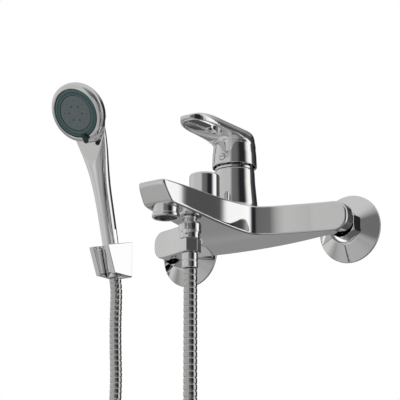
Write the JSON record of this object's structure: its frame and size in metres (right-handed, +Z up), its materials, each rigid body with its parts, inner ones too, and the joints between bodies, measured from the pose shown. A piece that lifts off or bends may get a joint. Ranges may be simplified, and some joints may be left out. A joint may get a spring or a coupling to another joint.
{
  "type": "wall mounted bath mixer tap",
  "caption": "Wall mounted bath mixer with single looped lever, flat spout with pull-up diverter, hand shower on a metal hose and a wall bracket; mixes, pours and showers.",
  "frame": {"origin": "on the finished wall surface, midway between the two wall inlets, at their height", "axes": "+X to the right seen from the room, +Y into the wall, +Z up"},
  "size_m": [0.3276, 0.201, 0.5241],
  "materials": {
    "chrome": "polished chrome plate",
    "hose_steel": "spiral wound stainless strip, semi-bright",
    "brass": "machined, unplated",
    "steel": "machined stainless",
    "dark_plastic": "satin dark grey-green",
    "grey_plastic": "satin mid grey",
    "black_plastic": "satin black",
    "white_plastic": "moulded natural white",
    "ceramic": "lapped ceramic, smooth",
    "rubber": "moulded sealing rubber"
  },
  "bodies": {
    "mixer": {"mixer_body": "chrome", "wall_union_left": "brass", "wall_union_right": "brass", "escutcheon_left": "chrome", "escutcheon_right": "chrome", "inlet_seal_left": "rubber", "inlet_seal_right": "rubber", "union_nut_left": "chrome", "union_nut_right": "chrome", "port_seal_hot": "rubber", "port_seal_cold": "rubber", "port_seal_mixed": "rubber", "cartridge_base": "white_plastic", "fixed_ceramic_disc": "ceramic", "cartridge_housing": "white_plastic", "cartridge_lock_ring": "brass", "trim_ring": "chrome", "diverter_bush": "brass", "diverter_spring": "steel", "aerator_housing": "chrome", "aerator_insert": "black_plastic", "aerator_seal": "rubber", "shower_outlet_nipple": "chrome", "check_valve": "white_plastic", "outlet_seal": "rubber", "outlet_hose_nut": "chrome", "outlet_ferrule": "chrome", "shower_bracket": "chrome", "bracket_plate": "steel", "bracket_pad": "grey_plastic", "bracket_screw": "steel", "hose_outlet_run": "hose_steel", "hose_coil": "hose_steel", "hose_tie": "black_plastic", "hose_shower_run": "hose_steel"},
    "lever_carrier": {"cartridge_carrier": "grey_plastic", "stem_pin": "steel"},
    "lever": {"lever_handle": "chrome", "cartridge_stem": "steel", "handle_set_screw": "steel", "index_plug": "white_plastic"},
    "valve_disc": {"moving_ceramic_disc": "ceramic", "disc_carriage": "white_plastic"},
    "diverter": {"diverter_knob": "chrome", "diverter_stem": "brass", "diverter_valve": "rubber"},
    "hose_end": {"hose_end_ferrule": "chrome"},
    "handset": {"handset_shell": "chrome", "hose_cone_nut": "chrome", "handset_seal": "rubber", "handset_face_ring": "chrome", "spray_plate": "grey_plastic", "spray_distributor": "white_plastic"},
    "selector": {"nozzle_ring": "dark_plastic", "selector_tab": "black_plastic"}
  },
  "joints": [
    {"name": "lever_turn", "type": "hinge", "parent": "mixer", "child": "lever_carrier", "pos_m": [0, -0.056, 0.05], "axis": [0, 0, 1], "range_deg": [-50, 50]},
    {"name": "lever_lift", "type": "hinge", "parent": "lever_carrier", "child": "lever", "pos_m": [0, -0.056, 0.05], "axis": [-1, 0, 0], "range_deg": [0, 20]},
    {"name": "valve_slide", "type": "slide", "parent": "lever_carrier", "child": "valve_disc", "axis": [0, -1, 0], "range_m": [0, 0.004]},
    {"name": "diverter_pull", "type": "slide", "parent": "mixer", "child": "diverter", "axis": [0, 0, 1], "range_m": [0, 0.008], "stiffness_N_per_m": 150, "springref_m": -0.005, "deforming": ["diverter_spring"]},
    {"name": "handset_lift", "type": "slide", "parent": "mixer", "child": "hose_end", "axis": [0, -0.2453, 0.9694], "range_m": [0, 0.05]},
    {"name": "handset_swivel", "type": "hinge", "parent": "hose_end", "child": "handset", "pos_m": [-0.1754, -0.0165, 0.004], "axis": [0, -0.2453, 0.9694], "range_deg": [-90, 90]},
    {"name": "spray_select", "type": "hinge", "parent": "handset", "child": "selector", "pos_m": [-0.1754, -0.079, 0.1438], "axis": [0, -0.8387, -0.5446], "range_deg": [-40, 40]}
  ],
  "couplings": [
    {"joint": "valve_slide", "follows": "lever_lift", "m_per_rad": 0.0105}
  ]
}
